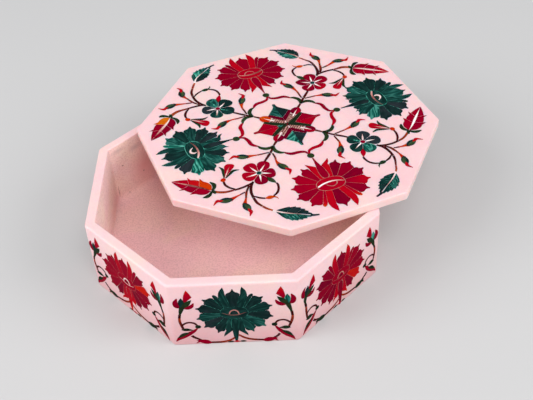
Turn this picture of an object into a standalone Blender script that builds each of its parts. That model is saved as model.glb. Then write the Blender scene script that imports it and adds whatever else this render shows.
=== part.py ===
"""An octagonal white marble jewelry box with flowers of inlaid stone, its loose lid lying askew on the rim.

The box stands on the plane z = 0 with its middle on the Z axis and a flat side facing -Y. All lengths are
in metres. The inlaid stones are thin slices that fill shallow pockets, flush with the marble. Each flower,
leaf and bud is one node, fused from the petals that are glued edge to edge. The outlines are drawn on two
sheets that are scaled to the faces they decorate: the lid's reaches LID_SHEET_REACH units from its middle,
and a side's is SIDE_SHEET units wide and high, with its origin at the middle of the bottom edge.
"""

import math

import bmesh
import bpy
from mathutils import Matrix, Vector

# Marble box
BOX_WIDTH = 0.150
BOX_HEIGHT = 0.044
WALL = 0.0054
FLOOR = 0.0053
CORNER_RADIUS = 0.002
EDGE_ROUNDING = 0.0005

# Lid, and how it lies on the rim
LID_OVERHANG = 0.0035
LID_THICKNESS = 0.0049
LID_SHIFT_X = 0.031
LID_SHIFT_Y = 0.039
LID_TURN = math.radians(21.3)

# Inlay
STONE_THICKNESS = 0.0012
LID_BORDER = 0.0035
CLEARANCE = 0.0003

# Drawing sheets of the inlay, in their own units
LID_SHEET_REACH = 75
SIDE_SHEET = (62, 44)

SIDE_NAMES = ("right", "back_right", "back", "back_left", "left", "front_left", "front", "front_right")
SIDES = len(SIDE_NAMES)
ARM_NAMES = ("right", "back", "left", "front")
QUARTER_NAMES = {(1, 1): "back_right", (-1, 1): "back_left", (-1, -1): "front_left", (1, -1): "front_right"}

half_width = BOX_WIDTH / 2
lid_half_width = half_width + LID_OVERHANG
lid_seat = BOX_HEIGHT + CLEARANCE
side_length = BOX_WIDTH * math.tan(math.pi / SIDES)
lid_unit = (lid_half_width - LID_BORDER) / LID_SHEET_REACH
side_unit = (side_length / SIDE_SHEET[0], BOX_HEIGHT / SIDE_SHEET[1])
cutter_height = STONE_THICKNESS + CLEARANCE


def clear_scene():
    for old in list(bpy.data.objects):
        bpy.data.objects.remove(old, do_unlink=True)


def new_collection(name):
    collection = bpy.data.collections.new(name)
    bpy.context.scene.collection.children.link(collection)
    return collection


def material(name, colour, roughness):
    made = bpy.data.materials.new(name)
    made.use_nodes = True
    shader = made.node_tree.nodes["Principled BSDF"]
    shader.inputs["Base Color"].default_value = (*colour, 1)
    shader.inputs["Roughness"].default_value = roughness
    shader.inputs["Metallic"].default_value = 0
    made.diffuse_color = (*colour, 1)
    return made


def place_empty(name, location, rotation, parts):
    """A frame for one decorated face: X to the right, Y up the drawing, Z out of the marble."""
    empty = bpy.data.objects.new(name, None)
    empty.location = location
    empty.rotation_euler = rotation
    parts.objects.link(empty)
    return empty


# Marble


def octagonal_block(name, half, bottom, top, corner):
    """An octagon block whose flats face the axes and whose upright edges are rounded."""
    mesh = bpy.data.meshes.new(name)
    shape = bmesh.new()
    radius = half / math.cos(math.pi / SIDES)
    depth = top - bottom
    place = Matrix.Translation((0, 0, (bottom + top) / 2)) @ Matrix.Rotation(math.pi / SIDES, 4, "Z")
    bmesh.ops.create_cone(
        shape, cap_ends=True, segments=SIDES, radius1=radius, radius2=radius, depth=depth, matrix=place
    )
    upright = [edge for edge in shape.edges if abs(edge.verts[0].co.z - edge.verts[1].co.z) > depth / 2]
    if corner:
        bmesh.ops.bevel(
            shape, geom=upright, offset=corner * math.tan(math.pi / SIDES), offset_type="OFFSET", segments=2,
            profile=0.5, affect="EDGES",
        )
    bmesh.ops.recalc_face_normals(shape, faces=shape.faces)
    shape.to_mesh(mesh)
    shape.free()
    return bpy.data.objects.new(name, mesh)


def subtract(body, label, operand):
    """Cuts one object, or every object of a collection, out of the body."""
    cut = body.modifiers.new(label, "BOOLEAN")
    cut.operation = "DIFFERENCE"
    cut.solver = "EXACT"
    if isinstance(operand, bpy.types.Collection):
        cut.operand_type = "COLLECTION"
        cut.collection = operand
    else:
        cut.object = operand


def soften_edges(body):
    """A narrow bevel on every square edge."""
    bevel = body.modifiers.new("soft_edges", "BEVEL")
    bevel.limit_method = "ANGLE"
    bevel.angle_limit = math.radians(60)
    bevel.width = EDGE_ROUNDING
    bevel.segments = 1


def as_cutter(body, collection):
    body.hide_render = True
    body.display_type = "WIRE"
    collection.objects.link(body)


def build_box(parts, cutters, marble):
    box = octagonal_block("box", half_width, 0, BOX_HEIGHT, CORNER_RADIUS)
    cavity = octagonal_block("cavity", half_width - WALL, FLOOR, BOX_HEIGHT + WALL, 0)
    as_cutter(cavity, cutters)
    subtract(box, "cavity", cavity)
    soften_edges(box)
    box.data.materials.append(marble)
    parts.objects.link(box)
    return box


def build_lid(parts, marble, frame):
    lid = octagonal_block("lid", lid_half_width, -LID_THICKNESS, 0, CORNER_RADIUS)
    soften_edges(lid)
    lid.data.materials.append(marble)
    lid.parent = frame
    parts.objects.link(lid)
    return lid


# Outlines


def polar(degrees, radius):
    """A point of a drawing. The angle runs anticlockwise from the drawing's X axis."""
    angle = math.radians(degrees)
    return radius * math.cos(angle), radius * math.sin(angle)


def turned(outline, degrees, middle):
    """The outline turned about its origin, and then moved to its middle."""
    cosine, sine = polar(degrees, 1)
    return [(middle[0] + x * cosine - y * sine, middle[1] + x * sine + y * cosine) for x, y in outline]


def anticlockwise(outline):
    area = sum(a[0] * b[1] - b[0] * a[1] for a, b in zip(outline, outline[1:] + outline[:1]))
    return outline if area > 0 else outline[::-1]


def grown(outline, by):
    """The outline moved outwards by a distance, with the points of sharp tips held back."""
    points = [Vector(point) for point in anticlockwise(outline)]
    moved = []
    for before, here, after in zip(points[-1:] + points[:-1], points, points[1:] + points[:1]):
        first = (here - before).normalized()
        second = (after - here).normalized()
        outward = Vector((first.y + second.y, -first.x - second.x))
        cosine = max(outward.length / 2, 0.5)
        moved.append(tuple(here + outward.normalized() * by / cosine))
    return moved


def flower_outline(width_scale, long_petal):
    """A flower seen from above, its one long petal along +Y.

    Each half has a horn beside the long petal, five round lobes with a pointed nib, and a horn beside the
    end petal. The angles run from the long petal.
    """
    body_reach = 16
    body_spread = 3
    nib = 2.1
    end_petal = 18.6

    def body(angle):
        return body_reach + body_spread * math.sin(math.radians(angle)) ** 2

    half = [(6.5, 15.4), (19, 19.7), (24, 14.6)]
    for angle in range(33, 130, 24):
        half += [(angle - 6, body(angle) - 0.4), (angle - 1.5, body(angle) + nib), (angle + 5, body(angle))]
        half.append((angle + 12, body(angle + 12) - 1.4))
    half += [(154, 16), (165, 20.4), (165, 14.8)]
    right = [polar(90 - angle, reach * width_scale) for angle, reach in half]
    left = [(-x, y) for x, y in reversed(right)]
    return [(0, long_petal), *right, (0, -end_petal * width_scale), *left]


def round_flower_outline(petals=5, radius=9.4):
    """A flower of round petals, the first of them on +X."""
    petal_points = ((-0.28, 0.9), (0, 1), (0.28, 0.9), (0.5, 0.55))
    step = 360 / petals
    outline = []
    for petal in range(petals):
        outline += [polar((petal + share) * step, radius * reach) for share, reach in petal_points]
    return outline


def bead_outline(points=6, radius=1.8):
    return [polar(360 * point / points, radius) for point in range(points)]


def along(base, tip, width, stations):
    """An outline round an axis: a station is a share of the length, and of the width on either side."""
    start = Vector(base)
    axis = Vector(tip) - start
    across = axis.orthogonal().normalized() * width / 2
    left = [tuple(start + axis * share + across * one) for share, one, _ in stations]
    right = [tuple(start + axis * share - across * other) for share, _, other in reversed(stations)]
    return [base, *left, tip, *right]


def leaf_outline(base, tip, width):
    return along(base, tip, width, ((0.12, 0.5, 0.6), (0.38, 1, 1), (0.62, 0.85, 0.95), (0.84, 0.3, 0.45)))


def bud_outline(base, tip, width):
    """A long pointed bud with a barb on each side."""
    stations = ((0.04, 0.75, 0.7), (0.3, 1, 1), (0.5, 0.8, 0.85), (0.53, 1, 1.05), (0.78, 0.45, 0.5))
    return along(base, tip, width, stations)


def tulip_outline(base, tip, width):
    """A round petal between two pointed leaves that bend outwards."""
    return along(base, tip, width, ((0.3, 0.5, 0.5), (0.86, 1, 1), (0.58, 0.42, 0.42), (0.9, 0.5, 0.5)))


def side_tulip_outline(base, tip, width):
    """A tall pointed petal between two lower ones, on a slim cup."""
    stations = ((0.24, 0.12, 0.3), (0.42, 0.6, 0.9), (0.62, 0.62, 0.75), (0.5, 0.1, 0.25))
    return along(base, tip, width, stations)


def rosette_outline():
    """Four pointed petals on the arms, with a small round one in each quarter."""
    quarter = ((0, 20.6), (6, 16.6), (26, 13.2), (34, 10.8), (35, 14.2), (41, 16.8))
    outline = []
    for arm in range(0, 360, 90):
        outline += [polar(arm + angle, reach) for angle, reach in quarter]
        outline += [polar(arm + 90 - angle, reach) for angle, reach in quarter[:0:-1]]
    return outline


def garland_outlines(width=1.3):
    """A scalloped ring with a cusp out at each arm, and one in at each quarter."""
    eighth = ((0, 27.6), (5.6, 26.3), (17.4, 26.8), (26.6, 25.2), (38, 24.6), (45, 20.9))
    middle = []
    for arm in range(0, 360, 90):
        middle += [polar(arm + angle, reach) for angle, reach in eighth]
        middle += [polar(arm + 90 - angle, reach) for angle, reach in eighth[-2:0:-1]]
    return [grown(middle, width / 2), grown(middle, -width / 2)]


# Stones and the pockets they fill


def flat_curve(name, outlines, thickness):
    """A filled 2D curve through one outline, or an outer and an inner one."""
    curve = bpy.data.curves.new(name, "CURVE")
    curve.dimensions = "2D"
    curve.fill_mode = "BOTH"
    curve.extrude = thickness / 2
    for outline in outlines:
        spline = curve.splines.new("POLY")
        spline.points.add(len(outline) - 1)
        for point, (x, y) in zip(spline.points, outline):
            point.co = (x, y, 0, 1)
        spline.use_cyclic_u = True
    return bpy.data.objects.new(name, curve)


def inlay(name, outlines, unit, frame, stone, parts, pockets):
    """One slice of stone flush with the face, and the cutter of its pocket. The outer outline is first."""
    scaled = [[(x * unit[0], y * unit[1]) for x, y in outline] for outline in outlines]
    piece = flat_curve(name, scaled, STONE_THICKNESS)
    piece.location = (0, 0, -STONE_THICKNESS / 2)
    piece.parent = frame
    piece.data.materials.append(stone)
    parts.objects.link(piece)

    wider = [grown(outline, CLEARANCE if order == 0 else -CLEARANCE) for order, outline in enumerate(scaled)]
    drawn = flat_curve(f"{name}_drawn", wider, 2 * cutter_height)
    pockets.objects.link(drawn)
    bpy.context.view_layer.update()
    mesh = bpy.data.meshes.new_from_object(drawn.evaluated_get(bpy.context.evaluated_depsgraph_get()))
    bpy.data.objects.remove(drawn)
    shape = bmesh.new()
    shape.from_mesh(mesh)
    bmesh.ops.remove_doubles(shape, verts=shape.verts, dist=1e-6)
    bmesh.ops.recalc_face_normals(shape, faces=shape.faces)
    shape.to_mesh(mesh)
    shape.free()
    cutter = bpy.data.objects.new(f"{name}_pocket", mesh)
    cutter.parent = frame
    as_cutter(cutter, pockets)


def build_lid_inlay(parts, pockets, frame, red, green):
    unit = (lid_unit, lid_unit)
    flower_reach = 55.5
    bead_reach = 31

    def lay(name, outlines, stone):
        inlay(f"lid_{name}", outlines, unit, frame, stone, parts, pockets)

    lay("rosette", [rosette_outline()], red)
    lay("garland", garland_outlines(), red)
    flower = flower_outline(1, 21.5)
    for arm, name in enumerate(ARM_NAMES):
        degrees = 90 * arm
        stone = green if arm % 2 == 0 else red
        lay(f"flower_{name}", [turned(flower, degrees + 90, polar(degrees, flower_reach))], stone)
        lay(f"bead_{name}", [turned(bead_outline(), degrees, polar(degrees, bead_reach))], green)
    small_flower = turned(round_flower_outline(), 8.5, (30.8, 32))
    leaf = leaf_outline((34, 62), (17.5, 73.5), 8.6)
    bud = bud_outline((58.5, 34), (74.8, 19.4), 9.4)
    tulip = tulip_outline((48.8, 28), (41, 19), 8.8)
    for (sign_x, sign_y), name in QUARTER_NAMES.items():
        flower_stone = red if sign_x == sign_y else green
        motifs = (
            ("small_flower", small_flower, flower_stone),
            ("leaf", leaf, green),
            ("bud", bud, red),
            ("tulip", tulip, red),
        )
        for motif, outline, stone in motifs:
            lay(f"{motif}_{name}", [[(x * sign_x, y * sign_y) for x, y in outline]], stone)


def build_side_inlay(parts, pockets, red, green):
    flower = turned(flower_outline(0.88, 20.5), 180, (0, 22.8))
    tulip = side_tulip_outline((25.8, 25), (22.6, 40), 9.2)
    for side, name in enumerate(SIDE_NAMES):
        angle = side * 2 * math.pi / SIDES
        middle = (half_width * math.cos(angle), half_width * math.sin(angle), 0)
        frame = place_empty(f"side_{name}", middle, (math.pi / 2, 0, angle + math.pi / 2), parts)
        stone = green if side % 2 == 0 else red
        motifs = (
            ("flower", 1, flower, stone),
            ("left_tulip", -1, tulip, red),
            ("right_tulip", 1, tulip, red),
        )
        for motif, sign, outline, stone in motifs:
            drawn = [(x * sign, y) for x, y in outline]
            inlay(f"side_{motif}_{name}", [drawn], side_unit, frame, stone, parts, pockets)


def main():
    clear_scene()
    parts = new_collection("marble_jewelry_box")
    cutters = new_collection("cutters")
    lid_pockets = new_collection("lid_pockets")
    side_pockets = new_collection("side_pockets")
    marble = material("white_marble", (0.86, 0.72, 0.70), 0.25)
    red = material("red_stone", (0.42, 0.008, 0.012), 0.18)
    green = material("green_stone", (0.010, 0.085, 0.065), 0.18)

    box = build_box(parts, cutters, marble)
    build_side_inlay(parts, side_pockets, red, green)
    subtract(box, "inlay_pockets", side_pockets)

    lid_top = (LID_SHIFT_X, LID_SHIFT_Y, lid_seat + LID_THICKNESS)
    lid_frame = place_empty("lid_frame", lid_top, (0, 0, LID_TURN), parts)
    lid = build_lid(parts, marble, lid_frame)
    build_lid_inlay(parts, lid_pockets, lid_frame, red, green)
    subtract(lid, "inlay_pockets", lid_pockets)


main()
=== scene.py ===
"""The looks of the octagonal marble jewelry box: its marble, the inlaid stones and the studio round it.

The frame is in metres. The inlay is drawn in millimetres on one flat sheet for each face: X runs to the right
and Y up the drawing, from the middle of the lid or from the middle of a side's bottom edge.
"""

import math
import random

import bmesh
import bpy
from mathutils import Matrix, Vector, noise


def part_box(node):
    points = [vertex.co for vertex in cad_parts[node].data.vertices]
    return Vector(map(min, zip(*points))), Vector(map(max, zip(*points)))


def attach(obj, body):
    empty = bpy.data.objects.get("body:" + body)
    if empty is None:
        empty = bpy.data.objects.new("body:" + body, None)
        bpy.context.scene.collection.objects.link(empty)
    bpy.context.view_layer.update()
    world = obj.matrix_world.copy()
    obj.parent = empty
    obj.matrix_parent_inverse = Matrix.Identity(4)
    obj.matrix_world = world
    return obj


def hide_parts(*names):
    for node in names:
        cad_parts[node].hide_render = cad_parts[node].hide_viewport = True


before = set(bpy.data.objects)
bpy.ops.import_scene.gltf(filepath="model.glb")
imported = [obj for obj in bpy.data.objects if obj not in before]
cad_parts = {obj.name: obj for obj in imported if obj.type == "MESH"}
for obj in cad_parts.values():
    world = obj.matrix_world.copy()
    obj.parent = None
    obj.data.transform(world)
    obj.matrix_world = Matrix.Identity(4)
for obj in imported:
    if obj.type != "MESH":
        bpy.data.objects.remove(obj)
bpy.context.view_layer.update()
scene = bpy.context.scene

MM = 0.001
SIDES = 8
EIGHTH = 2 * math.pi / SIDES

# Sizes of the marble, from the frame
box_low, box_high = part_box("box")
lid_low, lid_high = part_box("lid")
half_width = (box_high.x - box_low.x) / 2
lid_middle = (lid_low + lid_high) / 2
LID_TURN = math.radians(21.3)
LID_HALF_WIDTH = 0.0785
lid_place = Matrix.Translation((lid_middle.x, lid_middle.y, 0)) @ Matrix.Rotation(LID_TURN, 4, "Z")
lid_sheet = Matrix.Translation((0, 0, lid_high.z)) @ lid_place
WALL = 0.0054
FLOOR = 0.0053

# Edges of the marble as they are ground and worn
CORNER = 0.0032
LID_CORNER = 0.0024
RIM_ROUNDING = 0.0012
INNER_CORNER = 0.0018
INNER_ROUNDING = 0.0006
EDGE_ROUNDING = 0.0006
LID_ROUNDING = 0.0007
COVE = 0.0035
LID_GAP = 0.00005

# The box's marble is painted darker below this height, fading out up to it: painted shade towards the floor
PAINTED_SHADE_TOP = 0.036

# Points on each flat and each rounded corner of the marble's octagons
FLAT_POINTS = 11
CORNER_POINTS = 5

# Inlay, in millimetres but for the two scales
SLICE_DEPTH = 0.9
PROUD = 0.02
LEVEL_STEP = 0.012
SLICE_EDGE = 0.015
JOINT = 0.08
GREEN_JOINT = 0.11
RED_JOINT = 0.09
STEM_SCALE = 1.28
LID_FLOWER_REACH = 55.4
SMALL_FLOWER_MIDDLE = (30.8, 32)
SIDE_FLOWER_HEIGHT = 22.9
SIDE_FLOWER_SCALE = 0.89

# Camera, as the photograph was taken
CAMERA_PLACE = (0.0218, -0.348, 0.3438)
CAMERA_HEADING = math.radians(-0.693)
CAMERA_PITCH = math.radians(-42.244)
CAMERA_ROLL = math.radians(2.962)
CAMERA_LENS = 58.27
SENSOR_WIDTH = 36

# Each light: its name, place, size and power, and below them the point they shine at
LIGHTS = (
    ("left", (-1.62, -0.53, 1.1), 1.35, 22),
    ("right", (1.62, -0.57, 1.1), 1.35, 18),
    ("front", (0.3, -1.23, 1.95), 1.4, 17),
    ("low_front", (-0.95, -1.5, 1.2), 1.5, 4),
)
LIT_POINT = (0.01, 0.01, 0.03)


# Shader nodes


def add_node(tree, kind, inputs=None, **settings):
    """A node with its settings made, and each input given a value or linked to a socket."""
    node = tree.nodes.new(f"ShaderNode{kind}")
    for name, value in settings.items():
        setattr(node, name, value)
    for name, value in (inputs or {}).items():
        if isinstance(value, bpy.types.NodeSocket):
            tree.links.new(value, node.inputs[name])
        else:
            node.inputs[name].default_value = value
    return node


def math_node(tree, operation, first, second=0):
    return add_node(tree, "Math", {0: first, 1: second}, operation=operation).outputs[0]


def vector_node(tree, operation, *inputs):
    """The outputs of a vector sum."""
    return add_node(tree, "VectorMath", dict(enumerate(inputs)), operation=operation).outputs


def ramp(tree, factor, stops):
    """A colour ramp through (position, colour) stops."""
    node = add_node(tree, "ValToRGB", {"Fac": factor})
    elements = node.color_ramp.elements
    while len(elements) < len(stops):
        elements.new(0.5)
    for element, (position, colour) in zip(elements, stops):
        element.position = position
        element.color = (*colour, 1)
    return node.outputs["Color"]


def mix(tree, factor, first, second, blend="MIX"):
    colours = [value if isinstance(value, bpy.types.NodeSocket) else (*value, 1) for value in (first, second)]
    inputs = {0: factor, 6: colours[0], 7: colours[1]}
    return add_node(tree, "Mix", inputs, data_type="RGBA", blend_type=blend).outputs[2]


def noise_node(tree, vector, scale, detail, distortion=0):
    inputs = {"Vector": vector, "Scale": scale, "Detail": detail, "Distortion": distortion}
    return add_node(tree, "TexNoise", inputs).outputs["Fac"]


def remap(tree, value, low, high, to_low=0, to_high=1):
    """How far a value is between two limits, as a number between two others."""
    inputs = {"Value": value, "From Min": low, "From Max": high, "To Min": to_low, "To Max": to_high}
    return add_node(tree, "MapRange", inputs).outputs["Result"]


def sway(tree, noise_value, amount):
    """A noise about nought, by an amount."""
    return math_node(tree, "MULTIPLY", math_node(tree, "SUBTRACT", noise_value, 0.5), amount)


def new_material(name, roughness, specular):
    material = bpy.data.materials.new(name)
    material.use_nodes = True
    shader = material.node_tree.nodes["Principled BSDF"]
    shader.inputs["Roughness"].default_value = roughness
    shader.inputs["Specular IOR Level"].default_value = specular
    return material, material.node_tree, shader


def painted(material, colour):
    """The material with its colour linked."""
    tree = material.node_tree
    tree.links.new(colour, tree.nodes["Principled BSDF"].inputs["Base Color"])
    return material


def bump(tree, shader, height, distance):
    node = add_node(tree, "Bump", {"Height": height, "Distance": distance, "Strength": 1})
    tree.links.new(node.outputs["Normal"], shader.inputs["Normal"])


# Marble


def height_share(tree, place, low, high):
    """0 below a height, 1 above another, and between them in even steps."""
    return remap(tree, add_node(tree, "SeparateXYZ", {0: place}).outputs["Z"], low, high)


def marble_base(name, roughness, gloss, light_share, light_depth):
    """The start of a marble's material, which lets a share of the light in to a depth."""
    material, tree, shader = new_material(name, roughness, gloss)
    shader.inputs["Subsurface Weight"].default_value = light_share
    shader.inputs["Subsurface Radius"].default_value = (1, 0.45, 0.32)
    shader.inputs["Subsurface Scale"].default_value = light_depth
    return material, tree, shader, add_node(tree, "TexCoord").outputs["Object"]


def marble_polished(name, low, high, painted_shading_tint, inner_light):
    """Fine white marble with a blush, faint clouds and a crystal grain.

    Below the height low its colour is multiplied by a tint of painted shade (on the box) or painted light (on
    the lid), which is gone at the height high.
    """
    material, tree, shader, place = marble_base(name, 0.32, 0.45, inner_light, 0.0025)
    blush = ramp(tree, noise_node(tree, place, 28, 4, 0.6), (
        (0.3, (0.93, 0.6, 0.625)), (0.5, (0.95, 0.64, 0.66)), (0.72, (0.95, 0.67, 0.625)),
    ))
    grains = ramp(tree, noise_node(tree, place, 900, 2), ((0.35, (0.93, 0.93, 0.93)), (0.6, (1, 1, 1))))
    colour = mix(tree, 0.35, blush, grains, "MULTIPLY")
    # Painted shade or painted light below the height low, by the tint given
    painted_shading = mix(tree, 1, colour, painted_shading_tint, "MULTIPLY")
    whole = mix(tree, height_share(tree, place, low, high), painted_shading, colour)
    tree.links.new(remap(tree, noise_node(tree, place, 120, 3), 0, 1, 0.26, 0.4), shader.inputs["Roughness"])
    bump(tree, shader, noise_node(tree, place, 380, 4), 0.00003)
    return painted(material, whole)


def mark(tree, place, colour, middle, reach, stain, core):
    """A soft-edged chip or stain round a place of the marble. core is the share of it that is full."""
    away = vector_node(tree, "SUBTRACT", place, middle)["Vector"]
    scaled = vector_node(tree, "MULTIPLY", away, [1 / size for size in reach])["Vector"]
    distance = vector_node(tree, "LENGTH", scaled)["Value"]
    return mix(tree, remap(tree, distance, 1.2, core), colour, stain)


CHIPS = (
    ((-0.0644, 0.0341, 0.0284), (0.0007, 0.0007, 0.0006)),
    ((-0.0546, 0.0438, 0.0161), (0.0006, 0.0006, 0.0006)),
    ((-0.0635, 0.0349, 0.0073), (0.0007, 0.0007, 0.0007)),
    ((-0.0677, 0.0308, 0.0067), (0.0005, 0.0005, 0.0009)),
    ((-0.0684, 0.03, 0.012), (0.0003, 0.0003, 0.0045)),
)
SMEARS = (
    ((-0.0569, 0.0416, 0.0357), (0.005, 0.005, 0.0025), (0.74, 0.54, 0.51)),
    ((-0.065, 0.033, 0.04), (0.0055, 0.0055, 0.0018), (0.72, 0.54, 0.51)),
    ((-0.054, 0.045, 0.02), (0.011, 0.011, 0.013), (0.86, 0.46, 0.44)),
)


def marble_ground(name):
    """The carved inside: unpolished, darker and warmer, with sandy grain and a few chips and smears."""
    material, tree, shader, place = marble_base(name, 0.85, 0.25, 0.15, 0.002)
    dusty = ramp(tree, noise_node(tree, place, 26, 4, 0.8), (
        (0.3, (0.91, 0.56, 0.58)), (0.5, (0.96, 0.62, 0.62)), (0.7, (0.97, 0.68, 0.6)),
    ))
    # Painted light: the walls above the floor are painted lighter than the floor, standing in for light
    # reaching them
    painted_lit_wall = mix(tree, 1, dusty, (1.08, 1.22, 1.17), "MULTIPLY")
    base = mix(tree, height_share(tree, place, FLOOR + 0.001, FLOOR + 0.012), dusty, painted_lit_wall)
    sand = noise_node(tree, place, 1100, 3)
    grains = ramp(tree, sand, ((0.36, (0.82, 0.78, 0.78)), (0.56, (1, 1, 1))))
    colour = mix(tree, 0.8, base, grains, "MULTIPLY")
    for middle, reach, stain in SMEARS:
        colour = mark(tree, place, colour, middle, reach, stain, 0)
    for middle, reach in CHIPS:
        colour = mark(tree, place, colour, middle, reach, (0.44, 0.26, 0.24), 0.3)
    bump(tree, shader, sand, 0.00005)
    return painted(material, colour)


def towards(angle):
    """A level direction, its angle from +X."""
    return Vector((math.cos(angle), math.sin(angle), 0))


def octagon_ring(half, corner, height):
    """Points round an octagon with rounded corners. It starts on the side that faces +X."""
    points = []
    inner = half - corner
    for side in range(SIDES):
        facing = side * EIGHTH
        outward = towards(facing)
        across = Vector((-outward.y, outward.x, 0))
        for step in range(FLAT_POINTS):
            share = 2 * step / (FLAT_POINTS - 1) - 1
            points.append(outward * half + across * inner * math.tan(EIGHTH / 2) * share)
        middle = facing + EIGHTH / 2
        centre = towards(middle) * inner / math.cos(EIGHTH / 2)
        for step in range(1, CORNER_POINTS):
            points.append(centre + towards(facing + EIGHTH * step / CORNER_POINTS) * corner)
    return [point + Vector((0, 0, height)) for point in points]


def arc(reach, height, radius, start, end, steps):
    """Profile points (reach, height) on part of a circle, its angles in degrees from outwards to upwards."""
    for step in range(steps + 1):
        angle = math.radians(start + (end - start) * step / steps)
        yield reach + radius * math.cos(angle), height + radius * math.sin(angle)


def following(ring):
    """Each item of a ring with the one after it."""
    return zip(ring, ring[1:] + ring[:1])


def band(shape, lower, upper):
    """The faces between two rings of vertices."""
    pairs = zip(following(lower), following(upper))
    return [shape.faces.new((here, after, above, start)) for (here, after), (start, above) in pairs]


def add_object(name, data):
    item = bpy.data.objects.new(name, data)
    scene.collection.objects.link(item)
    return item


def mesh_object(name, shape, materials):
    """An object from a finished bmesh."""
    mesh = bpy.data.meshes.new(name)
    shape.to_mesh(mesh)
    shape.free()
    for material in materials:
        mesh.materials.append(material)
    return add_object(name, mesh)


def skin(name, rings, materials, material_of_ring):
    """A closed mesh through rings of equal length, each end drawn together to its middle."""
    shape = bmesh.new()
    loops = [[shape.verts.new(point) for point in ring] for ring in rings]
    for order, (lower, upper) in enumerate(zip(loops, loops[1:])):
        for face in band(shape, lower, upper):
            face.material_index = material_of_ring(order)
    for loop, order in ((loops[0], 0), (loops[-1], len(rings) - 2)):
        middle = shape.verts.new(sum((vert.co for vert in loop), Vector()) / len(loop))
        for here, after in following(loop):
            face = shape.faces.new((here, after, middle) if order else (after, here, middle))
            face.material_index = material_of_ring(order)
    for face in shape.faces:
        face.smooth = True
    bmesh.ops.recalc_face_normals(shape, faces=shape.faces)
    piece = mesh_object(name, shape, materials)
    piece.modifiers.new("flat_faces", "WEIGHTED_NORMAL").weight = 50
    return piece


def uneven(point, scale, amount, seed):
    """A soft hand-ground unevenness at a point."""
    return amount * noise.noise(Vector(point) * scale + Vector((seed, seed, seed)))


def build_marble_box(polished, ground):
    """The box: outer wall, worn rim, and a carved inside whose corners and floor are coved."""
    top = box_high.z
    edge = half_width - EDGE_ROUNDING
    rim = half_width - RIM_ROUNDING
    inner = half_width - WALL
    cove_corner = INNER_CORNER + COVE / 2
    wall_height = top - EDGE_ROUNDING - RIM_ROUNDING
    rim_width = WALL - RIM_ROUNDING - INNER_ROUNDING
    rows = [(edge * share, CORNER * share, 0) for share in (0.3, 0.6, 0.9)]
    for reach, height in arc(edge, EDGE_ROUNDING, EDGE_ROUNDING, -90, 0, 3):
        rows.append((reach, CORNER - half_width + reach, height))
    for share in (0.04, 0.2, 0.4, 0.6, 0.8, 0.96):
        rows.append((half_width, CORNER, EDGE_ROUNDING + share * wall_height))
    for reach, height in arc(rim, top - RIM_ROUNDING, RIM_ROUNDING, 0, 90, 6):
        rows.append((reach, CORNER - half_width + reach, height))
    for share in (0.1, 0.5, 0.9):
        rows.append((rim - share * rim_width, CORNER - RIM_ROUNDING, top))
    for reach, height in arc(inner + INNER_ROUNDING, top - INNER_ROUNDING, INNER_ROUNDING, 90, 180, 4):
        rows.append((reach, INNER_CORNER, height))
    ground_from = len(rows) - 1
    for share in (0.1, 0.2, 0.3, 0.4, 0.5, 0.6, 0.7, 0.8):
        rows.append((inner, INNER_CORNER + COVE * share / 2, top - (top - FLOOR) * share))
    for reach, height in arc(inner - COVE, FLOOR + COVE, COVE, 0, -90, 6):
        rows.append((reach, cove_corner, height))
    for share in (0.95, 0.88, 0.79, 0.7, 0.6, 0.5, 0.4, 0.3, 0.2, 0.1):
        rows.append(((inner - COVE) * share, cove_corner * share, FLOOR))
    rings = [octagon_ring(*row) for row in rows]
    for ring in rings[ground_from + 1:]:
        for point in ring:
            away = Vector((point.x, point.y, 0)).normalized()
            swell = uneven(point, 55, 0.00022, 8.7)
            point += away * swell + Vector((0, 0, uneven(point, 60, 0.00012, 3.1)))
    piece = skin("box_marble", rings, (polished, ground), lambda order: int(order >= ground_from))
    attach(piece, "root")
    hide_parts("box")


def build_marble_lid(polished):
    """The lid: a flat octagonal slab with softened edges."""
    bottom = box_high.z + LID_GAP
    top = lid_high.z
    edge = LID_HALF_WIDTH - LID_ROUNDING
    rows = [(edge * share, LID_CORNER * share, bottom) for share in (0.3, 0.6, 0.9)]
    for reach, height in arc(edge, bottom + LID_ROUNDING, LID_ROUNDING, -90, 0, 4):
        rows.append((reach, LID_CORNER - LID_HALF_WIDTH + reach, height))
    for reach, height in arc(edge, top - LID_ROUNDING, LID_ROUNDING, 0, 90, 5):
        rows.append((reach, LID_CORNER - LID_HALF_WIDTH + reach, height))
    for share in (0.98, 0.9, 0.75, 0.6, 0.45, 0.3, 0.15):
        rows.append((edge * share, LID_CORNER * share, top))
    rings = [[lid_place @ point for point in octagon_ring(*row)] for row in rows]
    piece = skin("lid_marble", rings, (polished,), lambda order: 0)
    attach(piece, "root")
    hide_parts("lid")


# Stones


def stone_base(name, roughness):
    """The start of a stone's material: its grain coordinates and its tone come with each slice."""
    material, tree, shader = new_material(name, roughness, 0.004)
    grain = add_node(tree, "Attribute", attribute_name="grain").outputs["Vector"]
    tone = add_node(tree, "Attribute", attribute_name="tone").outputs["Fac"]
    return material, tree, shader, grain, tone


def stretched(tree, grain, along, across):
    """The grain coordinates scaled along and across the slice."""
    return vector_node(tree, "MULTIPLY", grain, (along, across, 1))["Vector"]


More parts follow.
